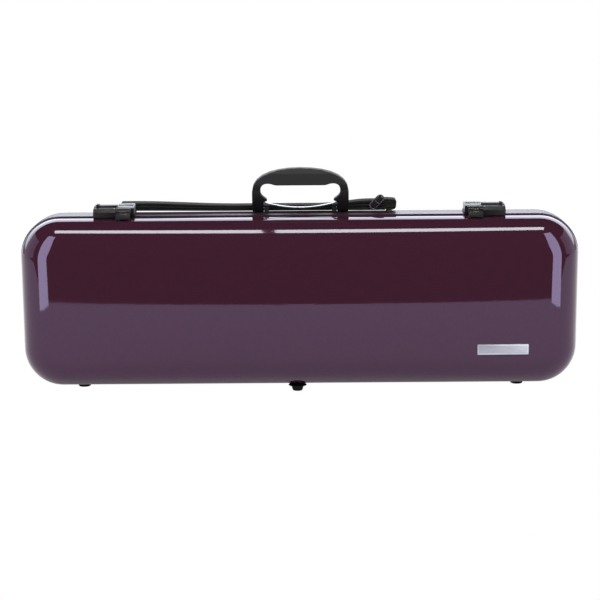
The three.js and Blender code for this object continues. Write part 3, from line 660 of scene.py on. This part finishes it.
def pan_rings(pan, offset, fillet_steps=20, cap_steps=14, start=0.0):
    """Rings of a skin set in by offset, from the rim, or from start above it, to the middle of the face."""
    a = pan["a"] - offset
    b = pan["b"] - offset
    corner = pan["corner"] - offset / 2
    rings = []
    first = math.asin((start / (pan["depth"] - offset)) ** (pan["power"] / 2))
    for i in range(fillet_steps + 1):
        angle = first + (math.pi / 2 - first) * i / fillet_steps
        inset = pan["fillet"] * (1 - max(math.cos(angle), 0) ** (2 / pan["power"]))
        rise = math.sin(angle) ** (2 / pan["power"])
        ring = []
        for x, z in outline(a - inset, b - inset, max(corner - inset, LEAST_CORNER), marks=NOTCH_MARKS):
            point = pan_point(pan, offset, x, z, rise)
            least = pan["rim"] + pan["side"] * notch(x, z, pan)
            point.y = pan["side"] * max(pan["side"] * point.y, pan["side"] * least)
            ring.append(point)
        rings.append(ring)
    fillet = pan["fillet"]
    face = outline(a - fillet, b - fillet, max(corner - fillet, LEAST_CORNER), marks=NOTCH_MARKS)
    for i in range(1, cap_steps):
        scale = 1 - i / cap_steps
        rings.append([pan_point(pan, offset, x * scale, z * scale, 1.0) for x, z in face])
    rings.append([pan_point(pan, offset, 0, 0, 1.0)])
    return rings


def make_shells():
    shells = (("base_shell", BASE_PAN, "base", SATIN_SHELL), ("lid_shell", LID_PAN, "lid", SHELL))
    for name, pan, body, lacquer in shells:
        inner = pan_rings(pan, WALL, 10, 6)
        outer = pan_rings(pan, 0)
        shell = loft(name + "_skin", inner[::-1] + outer, sharp_angle=50)
        place(shell, body, lacquer, "shell", name)


def ring_sweep(name, low, high, corner, profile, lift=None):
    """A closed moulding round the case; profile is (distance in from the edge, share of the Y width)."""
    a = (high.x - low.x) / 2
    b = (high.z - low.z) / 2
    rings = []
    for inset, share in profile:
        y = low.y + (high.y - low.y) * share
        ring = []
        for x, z in outline(a - inset, b - inset, corner - inset, marks=NOTCH_MARKS):
            if lift and z < -b + 10 * MM and beside_hinge(x):
                z = max(z, lift - MIDDLE_Z)
            ring.append(Vector((x, y, MIDDLE_Z + z)))
        rings.append(ring)
    return loft(name, rings, sharp_angle=40, closed=True)


def make_seal_and_valance():
    low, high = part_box("rim_seal")
    width = 5.9 * MM
    profile = [(0.0, 0.25), (0.25 * MM, 0.08), (0.9 * MM, 0.0), (width - 0.9 * MM, 0.0), (width, 0.2),
               (width, 0.8), (width - 0.6 * MM, 1.0), (0.7 * MM, 1.0), (0.1 * MM, 0.85)]
    knuckle_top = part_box("hinge_pin_1")[0].z + 3.9 * MM
    seal = ring_sweep("rim_seal_bulb", low, high, 55.5 * MM, profile, lift=knuckle_top)
    place(seal, "base", RUBBER, "rubber", "rim_seal")

    low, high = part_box("inner_valance")
    width = 2.6 * MM
    profile = [(0.0, 1.0), (0.0, 0.12), (0.35 * MM, 0.03), (0.9 * MM, 0.0), (width - 0.9 * MM, 0.0),
               (width - 0.3 * MM, 0.03), (width, 0.12), (width, 1.0)]
    valance = ring_sweep("inner_valance_lip", low, high, 49 * MM, profile)
    place(valance, "base", PLASTIC, "black_plastic", "inner_valance")
    a, b = (high.x - low.x) / 2 - width, (high.z - low.z) / 2 - width
    path = [Vector((x, low.y + 2.4 * MM, MIDDLE_Z + z)) for x, z in outline(a, b, 46.4 * MM)]
    thread = stitches("valance_stitching", path + path[:1], 4 * MM, 0.3 * MM)
    place(thread, "base", WEBBING, "webbing")


# ---------------------------------------------------------------- interior of the base
INSERT_LOW, INSERT_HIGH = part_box("foam_insert")
# Half widths of the violin recess along its length, in millimetres from the lower bout.
RECESS_START = -374
RECESS_HALF_WIDTHS = [
    (0, 0), (4, 55), (30, 93), (75, 109), (120, 96), (160, 66), (200, 62), (245, 78),
    (290, 89), (330, 78), (357, 48), (366, 0),
]


def smooth_loop(points, steps=12):
    """A closed centripetal curve through points."""
    count = len(points)
    path = []
    for i in range(count):
        p = [Vector(points[(i + k) % count]) for k in (-1, 0, 1, 2)]
        t = [0.0]
        for k in range(3):
            t.append(t[-1] + max((p[k + 1] - p[k]).length ** 0.5, 1e-6))
        for j in range(steps):
            s = t[1] + (t[2] - t[1]) * j / steps
            a = [p[k] * ((t[k + 1] - s) / (t[k + 1] - t[k])) + p[k + 1] * ((s - t[k]) / (t[k + 1] - t[k]))
                 for k in range(3)]
            b = [a[k] * ((t[k + 2] - s) / (t[k + 2] - t[k])) + a[k + 1] * ((s - t[k]) / (t[k + 2] - t[k]))
                 for k in range(2)]
            path.append(b[0] * ((t[2] - s) / (t[2] - t[1])) + b[1] * ((s - t[1]) / (t[2] - t[1])))
    return path


def round_loop(low, high, corner, y, margin=0.0):
    """A rounded rectangle round a box, seen along Y."""
    centre = (Vector(low) + Vector(high)) / 2
    a, b = (high.x - low.x) / 2 + margin, (high.z - low.z) / 2 + margin
    points = []
    for quadrant, (sx, sz) in enumerate(((1, 1), (-1, 1), (-1, -1), (1, -1))):
        for i in range(9):
            t = (quadrant + i / 8) * math.pi / 2
            points.append(Vector((centre.x + sx * (a - corner) + corner * math.cos(t), y,
                                  centre.z + sz * (b - corner) + corner * math.sin(t))))
    return points


def make_interior():
    moulded("foam_insert", "base", PLUSH, "plush", 2.2 * MM, 3, "foam_insert_velour")
    halves = [(RECESS_START + along, half) for along, half in RECESS_HALF_WIDTHS]
    face = INSERT_LOW.y + 0.2 * MM
    loop = [(x * MM, face, MIDDLE_Z + half * MM) for x, half in halves]
    loop += [(x * MM, face, MIDDLE_Z - half * MM) for x, half in halves[-2:0:-1]]
    # The piping stops where the neck channel opens out of the recess.
    neck = 27 * MM
    path = smooth_loop(loop)
    path = [p for p in path if not (p.x > -30 * MM and abs(p.z - MIDDLE_Z) < neck + 2 * MM)]
    first = max(range(len(path)), key=lambda i: (path[i] - path[i - 1]).length)
    path = path[first:] + path[:first]
    bead = tube("recess_piping", path, 1.3 * MM)
    place(bead, "base", LINING, "lining")

    for node in ("lower_body_pad", "upper_body_pad"):
        cushion(node, "base", LINING, "lining", voxel=4 * MM, pressure=4.0, cap=3 * MM)
    cushion("neck_cradle", "base", LINING, "lining", voxel=3 * MM, pressure=3.0, cap=0.5 * MM)

    machined("neck_strap", "base", WEBBING, "webbing", 0.4 * MM, 3, "neck_strap_webbing")
    low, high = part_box("neck_strap")
    edges = []
    for x in (low.x + 2 * MM, high.x - 2 * MM):
        for z in (high.z - 4 * MM, low.z + 14 * MM):
            edges.append([Vector((x, low.y + 1.6 * MM, z)), Vector((x, low.y + 1.6 * MM, z - 10 * MM))])
    for i, line in enumerate(edges):
        place(stitches(f"neck_strap_stitch_{i + 1}", line, 2.4 * MM), "base", LINING, "lining")

    moulded("compartment_lid", "compartment", PLUSH, "plush", 1.4 * MM, 3, "compartment_lid_velour")
    machined("compartment_tab", "compartment", WEBBING, "webbing", 0.4 * MM, 3, "compartment_tab_webbing")
    low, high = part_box("compartment_tab")
    frame_line = round_loop(low, high, 3 * MM, low.y - 0.05 * MM, -1.6 * MM)
    stitch = stitches("compartment_tab_stitch", frame_line + frame_line[:1], 2.2 * MM)
    place(stitch, "compartment", LINING, "lining")
    make_string_tube()


def make_string_tube():
    low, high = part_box("string_tube")
    axis = ((low.y + high.y) / 2, (low.z + high.z) / 2)
    radius = (high.y - low.y) / 2
    length = high.x - low.x
    wall = 1.2 * MM
    soft = 0.4 * MM
    profile = [(0, 0), (radius - 2 * soft, 0), (radius - soft / 2, soft / 2), (radius, 2 * soft),
               (radius, length - soft),
               (radius - wall / 2, length), (radius - wall, length - soft), (radius - wall, wall), (0, wall)]
    body = lathe("string_tube_body", profile, (low.x, *axis), "x")
    place(body, "base", CLEAR, "clear_plastic", "string_tube")

    low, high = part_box("string_tube_cap")
    radius = (high.y - low.y) / 2
    length = high.x - low.x
    profile = [(0, 0), (radius - 1.5 * MM, 0), (radius - soft, -soft), (radius, -1.5 * MM)]
    groove = radius - 0.45 * MM
    for i in range(7):
        x = -(3.5 + 2.6 * i) * MM
        profile += [(radius, x), (groove, x - 0.5 * MM), (groove, x - 0.9 * MM), (radius, x - 1.4 * MM)]
    profile += [(radius, -length + soft), (radius - soft, -length), (radius - wall, -length + 0.2 * MM),
                (radius - wall, -wall), (0, -wall)]
    place(lathe("string_tube_cap_ribbed", profile, (high.x, *axis), "x"), "base", PLASTIC, "black_plastic",
          "string_tube_cap")


# ---------------------------------------------------------------- inside of the lid
def make_lid_lining():
    start = 13 * MM
    inner = pan_rings(LID_PAN, 7.6 * MM, 14, 10, start)
    outer = pan_rings(LID_PAN, 4.0 * MM, 14, 10, start)
    lining = loft("lid_lining_velour", inner[::-1] + outer, sharp_angle=50)
    place(lining, "lid", LINING, "lining", "lid_lining")
    edge = [(a + b) / 2 for a, b in zip(inner[0], outer[0])]
    place(tube("lid_lining_piping", edge, 1.7 * MM, closed=True), "lid", PLUSH, "plush")


def make_bow_holders():
    for level in ("upper", "lower"):
        low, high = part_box(f"spinner_base_{level}")
        centre = ((low.x + high.x) / 2, low.y, (low.z + high.z) / 2)
        profile = [(2.6, 0), (12, 0), (12, 1.9), (11.4, 2.5), (9.2, 3.1), (8.4, 3.8), (7.6, 4), (3.2, 4),
                   (2.6, 3.6), (2.6, 0)]
        scaled = [(r * MM, h * MM) for r, h in profile]
        place(lathe(f"spinner_base_{level}_turned", scaled, centre, "y"), "lid", PLASTIC, "black_plastic",
              f"spinner_base_{level}")
        low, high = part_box(f"spinner_rivet_{level}")
        origin = (centre[0], low.y, centre[2])
        height = (high.y - low.y) / MM
        profile = [(0, 0), (2, 0), (2, height - 2.4), (4.2, height - 2.4), (4.5, height - 2.1),
                   (4.3, height - 1.2), (3.2, height - 0.4), (1.6, height - 0.05), (0, height)]
        scaled = [(r * MM, h * MM) for r, h in profile]
        rivet = lathe(f"spinner_rivet_{level}_domed", scaled, origin, "y")
        place(rivet, "lid", STEEL, "steel", f"spinner_rivet_{level}")
        moulded(f"bow_spinner_{level}", f"spinner_{level}", PLASTIC, "black_plastic", 0.5 * MM, 5,
                f"bow_spinner_{level}_bar")
        pocket = f"bow_tip_pocket_{level}"
        moulded(pocket, "lid", PLUSH, "plush", 1.0 * MM, 4, pocket + "_velour")
        low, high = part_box(pocket)
        middle_z = (low.z + high.z) / 2
        radius = (high.z - low.z) / 2 + 0.1 * MM
        turns = [math.pi * (0.06 + 0.88 * i / 20) for i in range(21)]
        for side, x in (("near", low.x + 2.2 * MM), ("far", high.x - 2.2 * MM)):
            arc = [Vector((x, low.y + radius * math.sin(t), middle_z + radius * math.cos(t))) for t in turns]
            place(stitches(f"bow_tip_{level}_stitch_{side}", arc, 3 * MM), "lid", LINING, "lining")


# ---------------------------------------------------------------- hinges
def make_hinges():
    for i in (1, 2, 3):
        machined(f"hinge_base_leaf_{i}", "base", STEEL, "steel", 0.25 * MM, 2)
        machined(f"hinge_lid_leaf_{i}", "lid", STEEL, "steel", 0.25 * MM, 2)
        turned_pin(f"hinge_pin_{i}", 0.3 * MM, 24)


# ---------------------------------------------------------------- handle
def make_handle():
    moulded("handle", "handle", GRIP, "black_plastic", 0.75 * MM, 6, "handle_moulded")
    low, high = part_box("handle_strip")
    middle = (low.y + high.y) / 2
    half = (high.x - low.x) / 2
    centre_x = (high.x + low.x) / 2
    thick = 1.6 * MM
    sag = (high.z - low.z) - thick
    rings = []
    steps = 60
    for i in range(steps + 1):
        x = -half + 2 * half * i / steps
        z = low.z + sag * (x / half) ** 2
        profile = [(-4, 0.3), (-4, 1.3), (-3.6, 1.6), (3.6, 1.6), (4, 1.3), (4, 0.3), (3.6, 0), (-3.6, 0)]
        rings.append([Vector((centre_x + x, middle + w * MM, z + h * MM)) for w, h in profile])
    ends = [[sum(ring, Vector()) / len(ring)] for ring in (rings[0], rings[-1])]
    strip = loft("handle_strip_bright", [ends[0]] + rings + [ends[1]], sharp_angle=50)
    place(strip, "handle", POLISHED, "bright_metal", "handle_strip")
    machined("handle_mount", "base", RUBBER, "black_plastic", 0.35 * MM, 3)
    for side in ("left", "right"):
        turned_pin(f"handle_pin_{side}", 0.4 * MM, 32)


# ---------------------------------------------------------------- latches
def dome(name, centre, radius, height):
    """A round rivet head standing up from centre."""
    turns = [i / 6 * math.pi / 2 for i in range(6)]
    profile = [(radius * math.cos(t), height * math.sin(t)) for t in turns]
    return lathe(name, [(0, 0)] + profile + [(0, height)], centre, "z", 24)


def make_latch(side, sign):
    """One latch with its clip; sign is the side of the case along X."""
    machined(f"latch_housing_{side}", "base", PLASTIC, "black_plastic", 0.8 * MM, 4)
    low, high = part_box(f"latch_housing_{side}")
    plate_low, plate_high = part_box(f"latch_plate_{side}")
    clip_low, clip_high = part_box(f"latch_clip_{side}")
    split = plate_low.x if sign < 0 else plate_high.x
    outer = low.x if sign < 0 else high.x

    def span(first, last):
        """x range between two distances inboard of the housing's outer end."""
        ends = sorted((outer - sign * first, outer - sign * last))
        return ends[0], ends[1]

    # A raised back ridge with an end stop, and three shallow steps on the front of the housing.
    x0, x1 = span(3.4 * MM, abs(outer - split) - 0.5 * MM)
    e0, e1 = span(3.0 * MM, 7.0 * MM)
    s0, s1 = span(1.4 * MM, abs(outer - split) - 1.2 * MM)
    top = high.z
    ridge = [((x0, low.y + 15.5 * MM, top - 2.2 * MM), (x1, low.y + 25 * MM, top + 1.0 * MM)),
             ((e0, low.y + 14.5 * MM, top - 2.2 * MM), (e1, low.y + 26 * MM, top + 2.6 * MM))]
    step_heights = [z * MM for z in (253.4, 255.9, 258.4)]
    steps = [((s0, low.y - 0.25 * MM, z), (s1, low.y + 1.8 * MM, z + 0.9 * MM)) for z in step_heights]
    place(blocks(f"latch_ridge_{side}", ridge, 0.6 * MM), "base", PLASTIC, "black_plastic")
    place(blocks(f"latch_steps_{side}", steps, 0.3 * MM), "base", PLASTIC, "black_plastic")
    rivet_place = (split + sign * 3.2 * MM, low.y + 6.2 * MM, top - 2.4 * MM)
    rivet = dome(f"latch_rivet_{side}", rivet_place, 1.3 * MM, 0.8 * MM)
    place(rivet, "base", BRIGHT, "bright_metal")

    # The bright plate and three long ribs on it.
    machined(f"latch_plate_{side}", "base", BRIGHT, "bright_metal", 0.45 * MM, 3)
    ribs = []
    for y in (8.0, 11.0, 14.0):
        rise = plate_high.z - (25 - y - 3.6) * 0.12 * MM
        start = Vector((plate_low.x + 1 * MM, plate_low.y + y * MM, rise + 0.05 * MM))
        ribs.append((start, (plate_high.x - 1 * MM, plate_low.y + (y + 1.1) * MM, rise + 0.5 * MM)))
    place(blocks(f"latch_plate_ribs_{side}", ribs, 0.2 * MM), "base", BRIGHT, "bright_metal")

    # The clip: two rows of small teeth over a square recess on its sloping front.
    machined(f"latch_clip_{side}", f"latch_{side}", DARK_METAL, "dark_metal", 0.35 * MM, 3)
    width = clip_high.x - clip_low.x
    pivot = Vector((0, clip_high.y - 7.5 * MM, clip_high.z))
    teeth = []
    count = 7
    for y, z, tilt in ((-3.7, -1.0, 19), (-8.2, -2.8, 34)):
        for k in range(count):
            x = clip_low.x + width * (k + 0.5) / count
            seat = Matrix.Translation(pivot + Vector((x, y * MM, z * MM)))
            turn = seat @ Matrix.Rotation(math.radians(tilt), 4, "X")
            size = Vector((width / count * 0.36, 1.2 * MM, 0.7 * MM))
            teeth.append((-size, size, turn))
    place(blocks(f"latch_teeth_{side}", teeth, 0.2 * MM), f"latch_{side}", GUNMETAL, "steel")
    clip_middle = (clip_low.x + clip_high.x) / 2
    slope = Matrix.Translation((clip_middle, clip_high.y - 19.2 * MM, clip_high.z - 5.3 * MM))
    slope = slope @ Matrix.Rotation(math.radians(34), 4, "X")
    rim = 0.9 * MM
    w, h, t = 4.6 * MM, 3.0 * MM, 0.55 * MM
    bars = [((-w, -h, -t), (w, -h + rim, t), slope), ((-w, h - rim, -t), (w, h, t), slope),
            ((-w, -h, -t), (-w + rim, h, t), slope), ((w - rim, -h, -t), (w, h, t), slope)]
    place(blocks(f"latch_clip_frame_{side}", bars, 0.2 * MM), f"latch_{side}", GUNMETAL, "dark_metal")
    inset = ((-w + rim, -h + rim, -t), (w - rim, h - rim, -0.1 * MM), slope)
    place(blocks(f"latch_clip_inset_{side}", [inset], 0.1 * MM), f"latch_{side}", RUBBER, "rubber")

    turned_pin(f"latch_pin_{side}", 0.3 * MM, 24)
    machined(f"latch_keeper_{side}", "lid", STEEL, "steel", 0.3 * MM, 3)


# ---------------------------------------------------------------- carrying strap
def webbing_sweep(name, path, front, back, thickness, swell=None):
    """Flat webbing along a path in the XZ plane: rounded edges, and lengthwise ribs standing proud."""
    path = [Vector(p) for p in path]
    half = thickness / 2
    section = []
    ribs = 7
    rib_depth = 0.16 * MM
    count = ribs * 4
    for i in range(count + 1):
        share = i / count
        edge = min(share, 1 - share) * (back - front)
        rise = half * min(1.0, (0.35 + edge / (0.9 * MM)))
        groove = rib_depth * (0.5 + 0.5 * math.cos(share * ribs * 2 * math.pi))
        section.append((front + share * (back - front), rise - groove))
    rings = []
    for i, point in enumerate(path):
        along = (path[min(i + 1, len(path) - 1)] - path[max(i - 1, 0)]).normalized()
        normal = Vector((-along.z, 0, along.x))
        pulse = 1 + 0.05 * (-1) ** i
        above, below = swell(point.x) if swell else (0, 0)
        upper = [Vector((0, y, 0)) + point + normal * h * (pulse + above) for y, h in section]
        lower = [Vector((0, y, 0)) + point - normal * h * (pulse + below) for y, h in reversed(section)]
        rings.append(upper + lower)
    caps = [[sum(ring, Vector()) / len(ring)] for ring in (rings[0], rings[-1])]
    return loft(name, [caps[0]] + rings + [caps[1]], sharp_angle=55)


def centre_line(node):
    """Mid line (x, z) of a strap layer's CAD solid, from its stations along X."""
    stations = {}
    for vertex in NODES[node].data.vertices:
        stations.setdefault(round(vertex.co.x, 5), []).append(vertex.co.z)
    return sorted((x, (min(zs) + max(zs)) / 2) for x, zs in stations.items())


def resample(points, pitch):
    """Points at an even pitch along X on a smooth curve through the given ones."""
    result = []
    count = int((points[-1][0] - points[0][0]) / pitch)
    for i in range(count + 1):
        x = points[0][0] + (points[-1][0] - points[0][0]) * i / count
        k = max(j for j in range(len(points) - 1) if points[j][0] <= x + 1e-9)
        (x0, z0), (x1, z1) = points[k], points[k + 1]
        before = points[max(k - 1, 0)]
        after = points[min(k + 2, len(points) - 1)]
        m0 = (z1 - before[1]) / (x1 - before[0])
        m1 = (after[1] - z0) / (after[0] - x0)
        t, h = (x - x0) / (x1 - x0), x1 - x0
        z = ((2 * t**3 - 3 * t**2 + 1) * z0 + (t**3 - 2 * t**2 + t) * h * m0
             + (-2 * t**3 + 3 * t**2) * z1 + (t**3 - t**2) * h * m1)
        result.append((x, z))
    return result


def doubled(x, below):
    """The webbing is sewn double towards the slider, so each layer grows thicker there, above and below."""
    share = min(max((x - 45 * MM) / (45 * MM), 0), 1)
    eased = share * share * (3 - 2 * share)
    return 0.68 * eased, below * eased


def make_strap():
    pitch = 1.1 * MM
    for level in ("lower", "middle", "upper"):
        low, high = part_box(f"strap_{level}")
        line = [(x, 0, z) for x, z in resample(centre_line(f"strap_{level}"), pitch)]
        # A few steps further, into the rolled end.
        line += [(line[-1][0] + step * pitch, 0, line[-1][2]) for step in range(1, 8)]
        below = 1.2 if level == "lower" else 0.68
        strap = webbing_sweep(f"strap_{level}_webbing", line, low.y, high.y, 2.4 * MM,
                              swell=lambda x, below=below: doubled(x, below))
        place(strap, "base", WEBBING, "webbing", f"strap_{level}")
        if level != "upper":
            continue
        for edge, y in (("front", low.y + 2 * MM), ("back", high.y - 2 * MM)):
            seam = [(x, y, z + 1.2 * MM) for x, _, z in line]
            thread = stitches(f"strap_{edge}_stitching", seam, 3.0 * MM, 0.25 * MM)
            place(thread, "base", WEBBING, "webbing")

    # The loose end is rolled into a flat coil: round corners, one layer inside the other.
    low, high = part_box("strap_bundle")
    centre = (low + high) / 2
    half_x, half_z = (high.x - low.x) / 2 - 1.3 * MM, (high.z - low.z) / 2 - 1.3 * MM
    path = []
    turns, steps = 3, 36
    for i in range(turns * steps + 1):
        inset = 2.5 * MM * i / steps
        a, b = half_x - inset, half_z - inset
        t = 2 * math.pi * i / steps - 0.7 * math.pi
        c, s = math.cos(t), math.sin(t)
        power = 2 / 5.0
        x = max(a, 1.2 * MM) * math.copysign(abs(c) ** power, c)
        z = max(b, 0.9 * MM) * math.copysign(abs(s) ** power, s)
        path.append((centre.x + x + 0.12 * z, 0, centre.z + z - 0.06 * x))
    roll = webbing_sweep("strap_bundle_rolled", path, low.y, high.y, 2.3 * MM)
    place(roll, "base", WEBBING, "webbing", "strap_bundle")

    make_slider()
    for side in ("left", "right"):
        machined(f"strap_anchor_{side}", "base", STEEL, "steel", 0.25 * MM, 2)


def make_slider():
    """A wire slider: an oval ring with a middle bar, so that it has two slots."""
    low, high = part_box("strap_slider")
    centre = (low + high) / 2
    tilt = Matrix.Translation(centre) @ Matrix.Rotation(-0.8, 4, "Y")
    a, b, corner = 12.0 * MM, 4.9 * MM, 4.6 * MM
    loop = round_loop(Vector((-a, 0, -b)), Vector((a, 0, b)), corner, 0)
    ring = tube("strap_slider_ring", [tilt @ p for p in loop], 1.15 * MM, closed=True, sides=16)
    place(ring, "base", GUNMETAL, "dark_metal", "strap_slider")
    bar = [tilt @ Vector((0, 0, z)) for z in (-b, b)]
    place(tube("strap_slider_bar", bar, 0.95 * MM, sides=16), "base", GUNMETAL, "dark_metal")
    fold = Vector((a - 1.4 * MM, 0.7 * MM, b - 1.3 * MM))
    place(blocks("strap_slider_fold", [(-fold, fold, tilt)], 0.4 * MM), "base", WEBBING, "webbing")


# ---------------------------------------------------------------- feet and nameplate
def make_feet():
    shapes = {
        "rear_foot_left": [(0, 0), (7.2, 0), (8.1, 0.2), (8.7, 0.8), (9.6, 3.8), (10.0, 4.3), (12.6, 4.6),
                           (13, 4.9), (13, 6.7), (3, 6.7), (3, 3), (0, 3)],
        "front_foot": [(0, 0), (5.6, 0), (6.5, 0.25), (7.1, 1.0), (8.1, 4.0), (8.7, 6.9), (9.3, 7.4),
                       (12.6, 7.8), (13, 8.1), (13, 8.7), (3, 8.7), (3, 3), (0, 3)],
    }
    shapes["rear_foot_right"] = shapes["rear_foot_left"]
    for node, profile in shapes.items():
        low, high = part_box(node)
        body = "lid" if node == "front_foot" else "base"
        origin = ((low.x + high.x) / 2, (low.y + high.y) / 2, low.z)
        foot = lathe(node + "_turned", [(r * MM, h * MM) for r, h in profile], origin, "z")
        place(foot, body, RUBBER, "rubber", node)
    for foot in ("rear_foot_screw_left", "rear_foot_screw_right", "front_foot_screw"):
        body = "lid" if foot.startswith("front") else "base"
        machined(foot, body, STEEL, "steel", 0.3 * MM, 3)


def make_nameplate():
    machined("nameplate", "lid", PLATE, "nameplate", 0.25 * MM, 3)
    low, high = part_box("nameplate")
    front = [face for face in NODES["nameplate"].data.polygons if face.normal.y < -0.9]
    area = sum(face.area for face in front)
    normal = sum((face.normal * face.area for face in front), Vector()) / area
    middle = sum((face.center * face.area for face in front), Vector()) / area
    half_x, half_z = (high.x - low.x) / 2 - 1.5 * MM, (high.z - low.z) / 2 - 1.5 * MM
    corners = []
    for dx, dz in ((-half_x, -half_z), (half_x, -half_z), (half_x, half_z), (-half_x, half_z)):
        dy = -(normal.x * dx + normal.z * dz) / normal.y
        corners.append(middle + Vector((dx, dy, dz)))
    border = tube("nameplate_border", corners, 0.3 * MM, closed=True)
    place(border, "lid", POLISHED, "nameplate")


make_camera()
make_studio()
make_shells()
make_seal_and_valance()
make_interior()
make_lid_lining()
make_bow_holders()
make_hinges()
make_handle()
make_latch("left", -1)
make_latch("right", 1)
make_strap()
make_feet()
make_nameplate()
